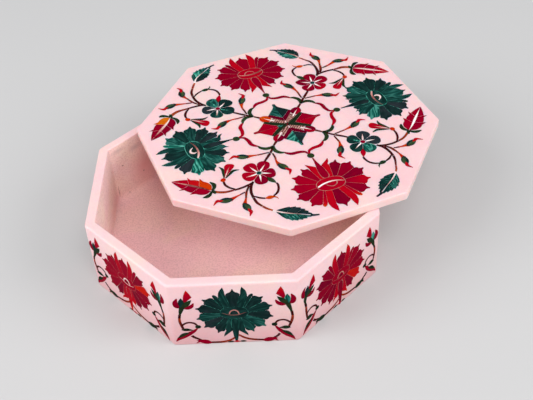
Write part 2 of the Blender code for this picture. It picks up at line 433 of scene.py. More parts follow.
def malachite(name):
    """Green stone, from slate to bright teal: the brighter a slice, the clearer its bands."""
    material, tree, shader, grain, tone = stone_base(name, 0.3)
    flow = noise_node(tree, stretched(tree, grain, 0.06, 0.24), 1, 1.5, 0.4)
    waves = math_node(tree, "SINE", math_node(tree, "MULTIPLY", flow, 34))
    bands = remap(tree, waves, -1, 1)
    clouded_tone = math_node(tree, "ADD", tone, sway(tree, noise_node(tree, grain, 0.16, 2), 0.36))
    share = add_node(tree, "Clamp", {"Value": clouded_tone}).outputs["Result"]
    ground = ramp(tree, share, (
        (0, (0.021, 0.03, 0.036)), (0.1, (0.007, 0.022, 0.022)), (0.25, (0.006, 0.036, 0.032)),
        (0.4, (0.009, 0.067, 0.057)), (0.55, (0.013, 0.105, 0.086)), (0.75, (0.016, 0.155, 0.12)),
        (1, (0.022, 0.26, 0.185)),
    ))
    dark = mix(tree, 1, ground, ramp(tree, bands, ((0.1, (0.25, 0.3, 0.3)), (0.5, (1, 1, 1)))), "MULTIPLY")
    shaded = mix(tree, math_node(tree, "ADD", share, 0.25), ground, dark)
    strength = math_node(tree, "POWER", share, 2.4)
    lines = math_node(tree, "MULTIPLY", remap(tree, bands, 0.72, 0.98), strength)
    bump(tree, shader, flow, 0.00001)
    return painted(material, mix(tree, lines, shaded, (0.14, 0.5, 0.4)))


def carnelian(name):
    """Red stone, crimson to orange, with faint fibres along the slice."""
    material, tree, shader, grain, tone = stone_base(name, 0.3)
    fibres = noise_node(tree, stretched(tree, grain, 0.12, 1.1), 1, 4, 0.4)
    clouds = noise_node(tree, grain, 0.3, 2)
    drift = math_node(tree, "ADD", sway(tree, fibres, 0.18), sway(tree, clouds, 0.16))
    colour = ramp(tree, math_node(tree, "ADD", tone, drift), (
        (0, (0.075, 0, 0.01)), (0.25, (0.17, 0, 0.015)), (0.5, (0.31, 0, 0.015)), (0.72, (0.44, 0.001, 0.01)),
        (0.84, (0.5, 0.01, 0.002)), (0.93, (0.56, 0.055, 0.002)), (1, (0.62, 0.15, 0.005)),
    ))
    bump(tree, shader, fibres, 0.00001)
    return painted(material, colour)


def clouded(name, roughness, scale, amount, stops):
    """A stone whose tone comes and goes in soft clouds."""
    material, tree, shader, grain, tone = stone_base(name, roughness)
    clouds = sway(tree, noise_node(tree, grain, scale, 3), amount)
    colour = ramp(tree, math_node(tree, "ADD", tone, clouds), stops)
    return painted(material, colour)


def jasper(name):
    """The stems' stone: maroon brown, and in places orange."""
    return clouded(name, 0.35, 0.5, 0.5, (
        (0, (0.03, 0.004, 0.006)), (0.3, (0.085, 0.01, 0.01)), (0.6, (0.27, 0.03, 0.012)),
        (1, (0.58, 0.11, 0.02)),
    ))


def moss_agate(name):
    """Olive green stone of the small leaves and the ring."""
    return clouded(name, 0.35, 0.6, 0.8, (
        (0, (0.01, 0.018, 0.01)), (0.5, (0.025, 0.048, 0.017)), (1, (0.09, 0.17, 0.08)),
    ))


def shell(name):
    """Pale shell of the midribs, white to a dull rose."""
    return clouded(name, 0.25, 0.8, 0.5, (
        (0, (0.09, 0.02, 0.018)), (0.25, (0.3, 0.1, 0.09)), (0.5, (0.64, 0.32, 0.28)),
        (0.78, (0.86, 0.66, 0.64)), (1, (0.95, 0.9, 0.9)),
    ))


def rose_bars(name):
    """Shimmering rose shell with brown lines across it."""
    material, tree, shader, grain, tone = stone_base(name, 0.3)
    wobble = noise_node(tree, grain, 0.7, 3)
    along = add_node(tree, "SeparateXYZ", {0: grain}).outputs["X"]
    bent = math_node(tree, "MULTIPLY", wobble, 9)
    phase = math_node(tree, "ADD", math_node(tree, "MULTIPLY", along, 5), bent)
    lines = remap(tree, math_node(tree, "SINE", phase), -1, 1)
    colour = ramp(tree, lines, (
        (0.15, (0.06, 0.012, 0.012)), (0.5, (0.24, 0.08, 0.07)), (0.9, (0.6, 0.32, 0.28)),
    ))
    return painted(material, colour)


STONES = {
    "green": malachite("malachite"),
    "red": carnelian("carnelian"),
    "brown": jasper("brown_jasper"),
    "olive": moss_agate("moss_agate"),
    "shell": shell("pale_shell"),
    "rose": rose_bars("rose_shell"),
}
STONE_ORDER = list(STONES)


# Drawing


def polar(degrees, reach):
    """A point of a drawing, its angle clockwise from +Y."""
    angle = math.radians(degrees)
    return reach * math.sin(angle), reach * math.cos(angle)


def curve(points, steps):
    """A smooth open curve through the points."""
    knots = [Vector(point) for point in points]
    knots = [2 * knots[0] - knots[1], *knots, 2 * knots[-1] - knots[-2]]
    drawn = []
    for before, start, end, after in zip(knots, knots[1:], knots[2:], knots[3:]):
        for step in range(steps):
            share = step / steps
            drawn.append(0.5 * (
                2 * start + (end - before) * share + (2 * before - 5 * start + 4 * end - after) * share ** 2
                + (3 * start - before - 3 * end + after) * share ** 3
            ))
    drawn.append(knots[-2])
    return [tuple(point) for point in drawn]


def strip(points, widths, steps=5):
    """A band along a smooth middle line, with a width at each of its points."""
    knots = curve([(*point, width) for point, width in zip(points, widths)], steps)
    left = []
    right = []
    for order, (x, y, width) in enumerate(knots):
        before = knots[max(order - 1, 0)]
        after = knots[min(order + 1, len(knots) - 1)]
        ahead = Vector((after[0] - before[0], after[1] - before[1])).normalized()
        left.append((x - ahead.y * width / 2, y + ahead.x * width / 2))
        right.append((x + ahead.y * width / 2, y - ahead.x * width / 2))
    return left + right[::-1]


# Steps along each side of a blade
BLADE_STEPS = 8


def blade(base, tip, left, right, bend=0, fullest=0.42):
    """A pointed leaf from base to tip: how far each side swells, and how far the axis bows to the left."""
    start = Vector(base)
    axis = Vector(tip) - start
    aside = Vector((-axis.y, axis.x)).normalized()
    power = math.log(0.5) / math.log(fullest)
    sides = ([], [])
    for step in range(BLADE_STEPS + 1):
        share = step / BLADE_STEPS
        swell = math.sin(math.pi * share ** power)
        middle = start + axis * share + aside * bend * 4 * share * (1 - share)
        sides[0].append(tuple(middle + aside * left * swell))
        sides[1].append(tuple(middle - aside * right * swell))
    return sides[0] + sides[1][-2:0:-1]


def disc(middle, reach, across=None, points=18):
    """An ellipse of a half width and a half height."""
    across = reach if across is None else across
    outline = []
    for step in range(points):
        angle = 2 * math.pi * step / points
        outline.append((middle[0] + reach * math.cos(angle), middle[1] + across * math.sin(angle)))
    return outline


def flipped(outline):
    return [(-x, y) for x, y in outline]


# A right half is laid as drawn, and then flipped
MIRRORS = (list, flipped)


def both_sides(half):
    """A closed outline from its right half, drawn from one end of the axis to the other."""
    return half + flipped(half)[::-1]


def area_of(outline):
    return sum(a[0] * b[1] - b[0] * a[1] for a, b in following(outline)) / 2


def inset(outline, by):
    """An anticlockwise outline moved inwards, with the points of sharp tips held back."""
    points = [Vector(point) for point in outline]
    moved = []
    for before, here, after in zip(points[-1:] + points[:-1], points, points[1:] + points[:1]):
        first = (here - before).normalized()
        second = (after - here).normalized()
        inward = Vector((-first.y - second.y, first.x + second.x))
        cosine = max(inward.length / 2, 0.35)
        moved.append(tuple(here + inward.normalized() * by / cosine) if inward.length else tuple(here))
    return moved


def drifted(point, drift):
    """The point moved as the pieces round it were set by hand, the nearest of them above all."""
    total = Vector((0, 0))
    weights = 0
    for centre, (right, up, degrees) in drift:
        away = point - Vector(centre)
        weight = 1 / (away.length_squared + 4) ** 2
        total += weight * (Matrix.Rotation(math.radians(degrees), 2) @ away - away + Vector((right, up)))
        weights += weight
    return point + total / weights if drift else point


class Motif:
    """Slices of stone on one face that make one piece."""

    def __init__(self, name, sheet, seed, joint=JOINT, flip=(1, 1), drift=()):
        self.name = name
        self.sheet = sheet
        self.joint = joint
        self.flip = flip
        self.drift = drift
        self.random = random.Random(seed)
        self.slices = []
        self.place()

    def place(self, middle=(0, 0), degrees=0, scale=1):
        """Set the next drawing's middle on the sheet, its turn and its scale."""
        self.middle = Vector(middle)
        self.turn = Matrix.Rotation(math.radians(degrees), 2)
        self.scale = scale

    def point(self, point):
        """Where a point of the drawing lies on the sheet."""
        moved = drifted(self.turn @ (Vector(point) * self.scale) + self.middle, self.drift)
        return moved.x * self.flip[0], moved.y * self.flip[1]

    def lay(self, outline, stone, tone, grain=90, level=0, joint=None, root=(0, 0)):
        """One slice: its stone, its tone from 0 to 1, its grain's angle from +X, and how far it is on top.

        A pair of tones runs from the point nearest the root to the farthest.
        """
        near_tone, far_tone = tone if isinstance(tone, tuple) else (tone, tone)
        reach = [math.dist(point, root) for point in outline]
        near = min(reach)
        span = max(reach) - near or 1
        tones = [near_tone + (far_tone - near_tone) * ((away - near) / span) ** 2 for away in reach]
        placed = [self.point(point) for point in outline]
        if area_of(placed) < 0:
            placed.reverse()
            tones.reverse()
        placed = inset(placed, (self.joint if joint is None else joint) / 2)
        angle = math.radians(grain)
        heading = self.turn @ Vector((math.cos(angle), math.sin(angle)))
        along = Vector((heading.x * self.flip[0], heading.y * self.flip[1]))
        self.slices.append((placed, stone, tones, along, level, self.random.uniform(0, 90)))

    def line(self, points, widths, stone, tone, level=0):
        """A thin strip of stone along a curve."""
        self.lay(strip(points, widths), stone, tone, 0, level, 0.05, points[0])

    def stem(self, points, widths, tone):
        """A strip of the stems' stone."""
        self.line(points, [width * STEM_SCALE for width in widths], "brown", tone)

    def build(self, slot, *replaced):
        """The piece: each slice is a thin closed solid that stands barely proud of the marble."""
        shape = bmesh.new()
        tone_layer = shape.verts.layers.float.new("tone")
        grain_layer = shape.verts.layers.float_vector.new("grain")
        for outline, stone, tones, along, level, offset in self.slices:
            top = PROUD + level * LEVEL_STEP
            rims = ((outline, -SLICE_DEPTH), (outline, top - SLICE_EDGE), (inset(outline, SLICE_EDGE), top))
            rows = []
            for rim, height in rims:
                row = []
                for (x, y), tone in zip(rim, tones):
                    vert = shape.verts.new(self.sheet @ Vector((x * MM, y * MM, height * MM)))
                    vert[tone_layer] = tone
                    vert[grain_layer] = (x * along.x + y * along.y, y * along.x - x * along.y, offset)
                    row.append(vert)
                rows.append(row)
            faces = [shape.faces.new(rows[0][::-1]), shape.faces.new(rows[-1])]
            for lower, upper in zip(rows, rows[1:]):
                faces += band(shape, lower, upper)
            for face in faces:
                face.material_index = STONE_ORDER.index(stone)
        piece = mesh_object(self.name, shape, STONES.values())
        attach(piece, "root")
        if replaced:
            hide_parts(*replaced)


# The large flower


EYE_REACH = (7.7, 4.8)
EYE_SQUARENESS = 2.4
EYE_RING = 1.04
NOTCHES = (21.5, 44, 68.5, 92.5, 116, 140)
ROOTS = (38, 55, 72, 90, 107, 121)
LOBE_RISE = ((0, -1.5), (0.04, -0.5), (0.14, 0.05), (0.25, 0.3), (0.315, 0.85), (0.35, 1.6), (0.37, 2.3))
LOBE_FALL = (
    (0.475, 2.3), (0.505, 1.6), (0.56, 0.85), (0.65, 0.35), (0.78, 0.15), (0.91, -0.3), (0.975, -0.9),
    (1, -1.5),
)
TUCKED_END = 148.5


def eye_point(degrees):
    """A point of the flower's oval eye."""
    sine, cosine = polar(degrees, 1)
    power = EYE_SQUARENESS
    reach = ((abs(sine) / EYE_REACH[0]) ** power + (abs(cosine) / EYE_REACH[1]) ** power) ** (-1 / power)
    return reach * sine, reach * cosine


def eye_arc(start, end, steps=4):
    return [eye_point(start + (end - start) * step / steps) for step in range(steps + 1)]


def flower_reach(degrees):
    return 16.2 + 3.1 * math.sin(math.radians(degrees)) ** 2


def lobe(start, end, from_root, to_root, body, shift):
    """One lobe: a full rounded end with a small hooked nib, and sides that meet its neighbours."""
    rise, fall = (
        [polar(start + (end - start) * (share + shift * (0 < share < 1)), body + out) for share, out in edge]
        for edge in (LOBE_RISE, LOBE_FALL)
    )
    return curve(rise, 2) + curve(fall, 2) + eye_arc(to_root, from_root)


def large_flower(motif, stone, tones, horn_tone, spear_tone, tucked_tones, tips, spear):
    """A flower with its long petal along +Y.

    tones has those of the five lobes on the right, then on the left, and of the end petal. tips are the ends
    of the two horns beside the long petal, and spear is the right half of that petal.
    """
    draw = motif.random
    lay = motif.lay
    red = stone == "red"
    bed = [polar(angle, flower_reach(angle) - (2.6 if red else 2.2)) for angle in range(0, 360, 9)]
    lay(bed, *(("shell", 0.3) if red else ("green", 0.75)), 90, -1, 0)
    for side, mirror in enumerate(MIRRORS):
        notches = [angle + draw.uniform(-1.2, 1.2) for angle in NOTCHES]
        roots = [angle + draw.uniform(-1.5, 1.5) for angle in ROOTS]
        lean = 1 - 2 * side
        for order in range(5):
            start, end = notches[order], notches[order + 1]
            body = flower_reach((start + end) / 2) + draw.uniform(-0.3, 0.3)
            shape = lobe(start, end, roots[order], roots[order + 1], body, draw.uniform(-0.06, 0.06))
            heading = 90 - lean * (start + end + roots[order] + roots[order + 1]) / 4
            lay(mirror(shape), stone, tones[order + 5 * side], heading)
        tip = tips[side]
        first_notch = polar(notches[0], flower_reach(33) - 1.9)
        horn = (
            curve([(1.5, 15), (2.9, 16.3), (0.72 * tip[0], tip[1] - 1.8), tip], 3)
            + curve([tip, (0.94 * tip[0], tip[1] - 2.4), (5.4, 15), first_notch], 3)[1:]
            + eye_arc(roots[0], 4, 3)
            + curve([(0.15, 4.75), (1.2, 5.05), (2.1, 6.3), (2.3, 9.5), (2, 12.6)], 3)
        )
        lay(mirror(horn), stone, horn_tone, 90)
        tucked = (
            [polar(notches[5], flower_reach(129) - 1.9)]
            + curve([polar(140, 16.6), polar(142.2, 18), polar(146, 18.2), polar(TUCKED_END, 16.6)], 3)
            + [polar(TUCKED_END, 15), eye_point(127), eye_point(roots[5])]
        )
        lay(mirror(tucked), stone, tucked_tones[side], 90 - lean * 144)
        last_horn = (
            [eye_point(127), polar(TUCKED_END, 15)]
            + curve([polar(150.5, 16), (7.3, -17.4), (5.1, -20.9)], 3)
            + curve([(5.1, -20.9), (4.3, -17.8), (4.1, -15.6), (3.6, -13.2)], 3)[1:]
            + eye_arc(160, 127, 2)[:-1]
        )
        lay(mirror(last_horn), stone, horn_tone, 90 - lean * 158)
    lay(both_sides(curve(spear, 3)), stone, spear_tone, 90)
    half_end = curve([(3.6, -13.2), (3.9, -14.8), (3, -16), (1.5, -16.8), (0.75, -17.7), (0.3, -19.1)], 3)
    lay(both_sides(half_end) + [eye_point(200), eye_point(180), eye_point(160)], stone, tones[10], 90)


def eye_with_moon(motif, stone, tone, arc_tones):
    """The eye of a lid flower: a pale arc across it, and a half moon below the arc."""
    lay = motif.lay
    red = stone == "red"
    middle_line = [(-7.3, -0.2), (-4, 1), (0, 1.5), (4, 0.9), (7.3, -0.7)]
    pale_arc = strip(middle_line, [0.9, 0.95, 0.9, 0.6, 0.25] if red else [0.25, 0.7, 1, 1.1, 0.8], 4)
    count = len(pale_arc) // 2
    ring = [(x * EYE_RING, y * EYE_RING) for x, y in eye_arc(0, 354, 40)]
    lay(ring, *(("shell", 0.3) if red else ("green", 0.9)), 0, 1, 0)
    lay(eye_arc(-88, 88, 16) + pale_arc[:count][::-1], stone, tone, 0, 2)
    lay(eye_arc(92, 268, 16) + pale_arc[count:][::-1], stone, tone - 0.04, 0, 2)
    lay(pale_arc, "shell", arc_tones, 0, 3, 0, middle_line[0])
    if red:
        moon = [(-2.6, 0.6), (-2, -1), (0.4, -2.4), (2.9, -1.2), (3.6, 0.5)]
        motif.line(moon, [0.2, 0.35, 0.45, 0.6, 0.7], "shell", 0.35, 4)
    else:
        moon = [(2.3, 0.4), (2.6, -1.2), (1.3, -2.7), (-0.8, -2.1), (-2.3, -0.4)]
        motif.line(moon, [0.3, 1.1, 1.3, 0.9, 0.3], "shell", 0.75, 4)
        lay(disc((0.9, -0.9), 1.3, 0.8), "olive", 0.1, 0, 4)


def eye_with_arch(motif, stone, tone, arch_tone):
    """The eye of a side's flower: a small arch over a thin curved line."""
    motif.lay(eye_arc(0, 354, 30), stone, tone, 0)
    arch = [(-2.7, 1.2), (-1.9, -1.2), (0, -2.2), (1.9, -1.2), (2.7, 1.1)]
    motif.line(arch, [0.6, 0.8, 0.9, 0.8, 0.6], "shell", arch_tone, 1)
    thin_line = [(-6.6, -0.1), (-3, 1.5), (0, 1.9), (3, 1.5), (6.6, 0)]
    motif.line(thin_line, [0.2, 0.4, 0.5, 0.4, 0.2], "shell", arch_tone - 0.15, 1)
    motif.lay(disc((0, 0.1), 1.1, 0.9), stone, 0.05, 0, 2)


# Motifs of one quarter of the lid, drawn where X and Y are both positive


GREEN_FLOWER_RIBS = (("shell", 1), ("green", 1), ("shell", 0.95), ("green", 1), ("shell", 0.75))


def small_flower(motif, stone, tones):
    """Five round petals, each with a pale midrib, about a round stone."""
    red = stone == "red"
    for petal in range(5):
        motif.place(SMALL_FLOWER_MIDDLE, 8.5 + 72 * petal - 90)
        half = curve([(1, 1.45), (2.2, 3.1), (3.6, 5.2), (3.75, 7.3), (2.4, 9.1), (0, 9.8)], 3)
        motif.lay(both_sides(half), stone, tones[petal], 90)
        reach = 7.2 + motif.random.uniform(-0.7, 0.7)
        rib, tone = ("shell", 0.95) if red else GREEN_FLOWER_RIBS[petal]
        motif.line([(0, 1.5), (0.05, 3.4), (0.3, reach)], [0.75, 1, 0.12], rib, (tone, tone - 0.35), 1)
    motif.place(SMALL_FLOWER_MIDDLE)
    motif.lay(disc((0, 0), 1.35), "green" if red else "red", 0.35, 0, 2, 0)


def leaf(motif, tones, rib_tone):
    """A saw-edged leaf with a pale midrib, streaks and a dark tail, drawn from its base along +Y.

    tones has those of three stretches of each side, from the base on, the inner side first.
    """
    motif.place((34.3, 61.8), 54.5)
    stretches = (
        [(0.15, 0.2), (1.4, 1.2), (3.3, 3.6), (4.6, 5.9), (4.2, 6.3), (4.9, 7.9), (0.15, 4.8)],
        [(0.15, 4.8), (4.9, 7.9), (5.3, 8.9), (4.6, 9.2), (4.9, 11.5), (4, 11.6), (4, 12.6), (0.15, 9.6)],
        [
            (0.15, 9.6), (4, 12.6), (4, 13.9), (3.1, 13.8), (2.7, 15.8), (1.8, 15.7), (1.4, 17.6),
            (0.9, 17.7), (0.3, 19.8),
        ],
    )
    for side, mirror in enumerate(MIRRORS):
        for order, stretch in enumerate(stretches):
            tone = tones[order + 3 * side]
            motif.lay(mirror(stretch), "green", tone, 50 + 80 * side, 0, 0.02)
            start = 2.6 + 4.2 * order
            for up in (0, 1.9):
                streak = [(0.6, start + up), (2.1, start + up + 1.5), (3.7 - order / 2, start + up + 3.2)]
                motif.line(mirror(streak), [0.2, 0.4, 0.15], "green", min(1.5 * tone + 0.12, 0.95), 1)
    motif.line([(0, -0.9), (0, 3), (0.1, 7), (0, 12.6)], [0.9, 0.8, 0.5, 0.12], "shell", rib_tone, 2)
    motif.line([(0.1, 17), (-0.1, 19.2), (-0.8, 21.6)], [1.9, 1.4, 1.1], "green", 0, 1)


def big_bud(motif, tones, rib_tone):
    """A long red bud with barbed sides and dark sepals, drawn along +Y, its tones in a leaf's order."""
    motif.place((58.2, 34.4), -132)
    stretches = (
        [
            (0.1, 0.1), *curve([(0.6, 0.1), (3.2, 1.3), (4.9, 3.9), (5.2, 6.9)], 3),
            (6.7, 9.6), (4.9, 9), (0.1, 7),
        ],
        [
            (0.1, 7), (4.9, 9), *curve([(5, 9.9), (4.8, 11.8), (4.2, 13.6)], 2),
            (5.6, 16.3), (3.8, 15.2), (0.1, 12.8),
        ],
        [(0.1, 12.8), (3.8, 15.2), *curve([(3.3, 16.6), (2.2, 19.2), (1, 21.4), (0, 23)], 3)],
    )
    for side, mirror in enumerate(MIRRORS):
        for order, stretch in enumerate(stretches):
            motif.lay(mirror(stretch), "red", tones[order + 3 * side], 76 + 28 * side, 0, 0.1)
    motif.line([(0, 1), (0.1, 6), (0.1, 12), (0, 19.6)], [0.3, 1.15, 1.35, 0.2], "shell", rib_tone, 1)
    motif.line([(0.2, -0.5), (2.8, -0.3), (4.6, 0.9), (5.8, 3.6)], [1.2, 2, 2.2, 0.6], "olive", 0.2, 1)
    motif.line([(-0.2, -0.5), (-2.6, -0.5), (-4.6, 0.4), (-6.3, 2.2)], [1.2, 1.9, 2.2, 0.6], "olive", 0.2, 1)
    motif.line([(0, -0.2), (-0.3, -1.8), (-1, -3.2)], [2.1, 1.9, 1.1], "olive", 0.25, 1)


def tulip(motif):
    """A round petal with a pale stripe between two dark sepals."""
    motif.place((48.7, 28.1), 139)
    half = curve([(0.3, -0.4), (1, 2.6), (2, 6), (2.6, 8.5), (1.9, 10.8), (0, 11.6)], 3)
    motif.lay(both_sides(half), "red", (0.5, 0.77))
    motif.line([(0, -0.2), (0.1, 4), (0.3, 8.8)], [0.4, 0.7, 0.15], "shell", (0.8, 0.1), 1)
    motif.line([(-0.4, -0.9), (-1.6, 2.6), (-2.8, 5.7), (-5.2, 7.6)], [0.6, 1.4, 1.7, 0.5], "olive", 0.25, 1)
    motif.line([(0.4, -0.9), (1.8, 2.6), (3.1, 5.6), (5.9, 7.3)], [0.6, 1.4, 1.7, 0.5], "olive", 0.15, 1)


def slim_bud(motif, stem, end, tip):
    """A stem that opens into a red sheath, and a green bud with a curled red tip.

    stem is its start, its middle and the sheath's mouth, and end is that of the green bud.
    """
    start, middle, mouth = (Vector(point) for point in stem)
    before = middle.lerp(mouth, 0.35)
    motif.stem([start, start.lerp(middle, 0.5), middle], [0.75, 0.85, 0.95], (0.2, 0.65))
    motif.line([middle, before, middle.lerp(mouth, 0.75), mouth], [1.1, 1.4, 2.3, 3.3], "red", 0.88)
    end = Vector(end)
    ahead = (end - mouth).normalized()
    base = mouth - ahead * 1.7
    heading = math.degrees(math.atan2(ahead.y, ahead.x))
    motif.lay(blade(base, end, 2.1, 2, 0, 0.45), "green", 0.1, heading, 1, 0)
    upper = blade(base + ahead * 1.1, base.lerp(end, 0.9), 1.4, 0.8, 0.3, 0.45)
    motif.lay(upper, "olive", 0.6, heading, 2, 0)
    curl = [base.lerp(end, 0.62), base.lerp(end, 0.84), end, tip]
    motif.line(curl, [0.5, 1.9, 1.8, 0.35], "red", 0.73, 3)


def quarter_stems(motif, flower_stone):
    """The stems, tendrils and slim buds from the ring to the small flower, and on to the edge."""
    lay = motif.lay
    line = motif.line
    stem = motif.stem
    stem([(15.2, 14.8), (17.6, 17.3), (19.6, 19.4)], [0.8, 1.1, 1.2], 0.2)
    stem([(19.7, 19.5), (22.2, 22), (24.8, 24.8)], [1.2, 1.2, 1], 0.15)
    slim_bud(motif, [(20, 18.6), (26.4, 18.2), (31.9, 16.9)], (38.1, 13.4), (41.2, 14.9))
    slim_bud(motif, [(18.6, 20), (18.6, 26.2), (17.4, 31.6)], (14.1, 38.1), (15.9, 41.1))
    stem([(36.8, 38.3), (40.5, 39.5), (44, 39.9), (48, 39.6)], [0.9, 1.15, 1.15, 1.1], 0.15)
    stem([(48.1, 39.6), (51.5, 38.9), (54.6, 37.3), (57.2, 35.5)], [1.1, 1.15, 1.2, 1.3], (0.5, 0.85))
    stem([(47.3, 39.2), (49.4, 36.6), (50.5, 33.6), (50.6, 30.9)], [0.8, 1.05, 1.05, 0.9], 0.12)
    lay(disc((50.5, 29.6), 1.45), "red", 0.87, 0, 0, 0.05)
    stem([(36.2, 37.4), (38.8, 40.9), (40.2, 45), (40.4, 49.6)], [1, 1.25, 1.25, 1.15], 0.1)
    stem([(40.4, 49.7), (39.7, 53.6), (38.2, 57)], [1.15, 1.1, 1], (0.15, 0.5))
    stem([(38.15, 57.1), (36.8, 59.4), (34.8, 61.4)], [1, 1.05, 0.8], (0.6, 0.95))
    stem([(39.8, 48.6), (37.6, 50.6), (34.9, 51.7)], [0.6, 1, 0.9], 0.1)
    bud = ("olive", 0.25) if flower_stone == "green" else ("red", 0.92)
    lay(blade((35.3, 51.8), (29.6, 52.3), 1.4, 1.4, 0.2, 0.5), *bud, 0)
    line([(30.6, 52.3), (29.4, 53.2), (28.8, 54.8)], [0.9, 0.8, 0.3], *bud)
    stem([(30.4, 51.6), (28, 50.3), (26.1, 48), (25.2, 45.2), (25.3, 43.4)], [0.8, 1.05, 1.05, 1, 0.9], 0.12)
    petal = ("red", 0.62) if flower_stone == "green" else ("olive", 0.45)
    lay(blade((25.2, 43.9), (28.5, 36.9), 1.5, 1.5, 0, 0.55), *petal, 110)
    stem([(39.6, 39.9), (42.1, 43.4), (43.5, 46.8)], [0.8, 1.05, 1.05], (0.2, 0.7))
    slim_bud(motif, [(43.4, 46.6), (44, 48.6), (45.5, 52.6)], (44.6, 59), (46.4, 61.6))
    slim_bud(motif, [(43.2, 43.8), (46.4, 44.4), (51.4, 45)], (58, 42.9), (60.9, 45.1))


# The middle of the lid


def rosette(motif):
    """Four pointed petals in two halves each, four round ones between them, and bars where they meet."""
    lay = motif.lay
    line = motif.line
    tones = ((0.12, 0.45), (0.5, 0.58), (0.8, 0.05), (0.56, 0.45))
    for arm in range(4):
        motif.place((0, 0), 90 * arm)
        if arm % 2:
            edge = curve([(4.2, 14), (2.1, 16.2), (1.1, 17.6), (0.8, 20), (0, 20.4)], 3)
            half = [(0, 4.8), (6.1, 12.1), *edge]
            bar = [(0, 0.6), (0.9, 0.5), (7.6, 10.8), (6.1, 12.1), (0, 4.7)]
        else:
            edge = curve([(4.4, 14.2), (2.1, 16.6), (1.1, 18.2), (0.8, 20.4), (0, 20.8)], 3)
            half = [(0, 6.8), (6.2, 12.2), *edge]
            bar = [(0, 3.4), (0.5, 3.4), (7.5, 10.7), (6.2, 12.2), (0, 6.7)]
        stone, bar_stone = ("red", "olive") if arm % 2 else ("green", "red")
        for side, mirror in enumerate(MIRRORS):
            lay(mirror(half), stone, tones[arm][side], 50 + 80 * side, 0, 0.03)
            lay(mirror(bar), bar_stone, 0.12, 50, 1, 0.03)
        line([(0, 11.5), (0, 15), (0, 18.6)], [0.12, 0.3, 0.4], "shell" if arm % 2 else "green", 0.1, 1)
        motif.place((0, 0), 90 * arm - 45)
        barred = [(-0.5, 0.6), (0.5, 0.6), (2.4, 3.2), (2.6, 9.9), (-2.6, 9.9), (-2.4, 3.2)]
        lay(barred, "rose", 0.5, 0 if arm == 2 else 90, 0, 0)
        line([(0.5, 1.6), (1.1, 5), (1.3, 9.6)], [0.2, 0.35, 0.45], "shell", (0.3, 0.6), 1)
        petal = curve([(0, 10.2), (1.4, 10.3), (2.8, 11.9), (3, 13.9), (2, 15.9), (0.6, 16.8), (0, 16.9)], 3)
        tone = (0.9, 0.87) if arm == 1 else (0.5, 0.2)
        lay(petal, "red", tone[0], 90, 0, 0.03)
        lay(flipped(petal), "red", tone[1], 90, 0, 0.03)
        line([(0.3, 8), (0.1, 11), (0.1, 14.6)], [0.9, 0.8, 0.15], "shell", (0.9, 0.6), 2)
        motif.stem([(0, 16.8), (0, 18.6), (0, 20.6)], [1.3, 1.1, 0.9], 0.3)
    motif.place()
    lay(blade((-6.2, 0), (-2.6, 0), 0.9, 0.9), "green", 0.8, 0, 2)
    lay(disc((0, 0), 1.7, 1.4), "olive", 0, 0, 3, 0)
    lay(disc((0, 0), 0.6, points=12), "red", 0.2, 0, 4, 0)


def garland(motif):
    """The scalloped ring: red bands that meet in a cusp at each arm, and olive ones between them."""
    for arm in range(4):
        motif.place((0, 0), 90 * arm)
        for mirror in MIRRORS:
            red = [(0.3, 29.2), (1.3, 26.7), (4.4, 25.5), (8.1, 25.2), (10.2, 23.9), (11.5, 22.3)]
            green = [(11.4, 22.4), (13.4, 21.6), (15.2, 19.4), (15.4, 16.9), (14.6, 14.7)]
            red_tone = 0.5 + motif.random.uniform(-0.12, 0.12)
            motif.line(mirror(red), [0.9, 1.7, 2.2, 2.3, 1.8, 1], "red", red_tone)
            green_tone = 0.4 + motif.random.uniform(-0.1, 0.1)
            motif.line(mirror(green), [1, 2, 2.4, 2.1, 1], "olive", green_tone)


# The sides


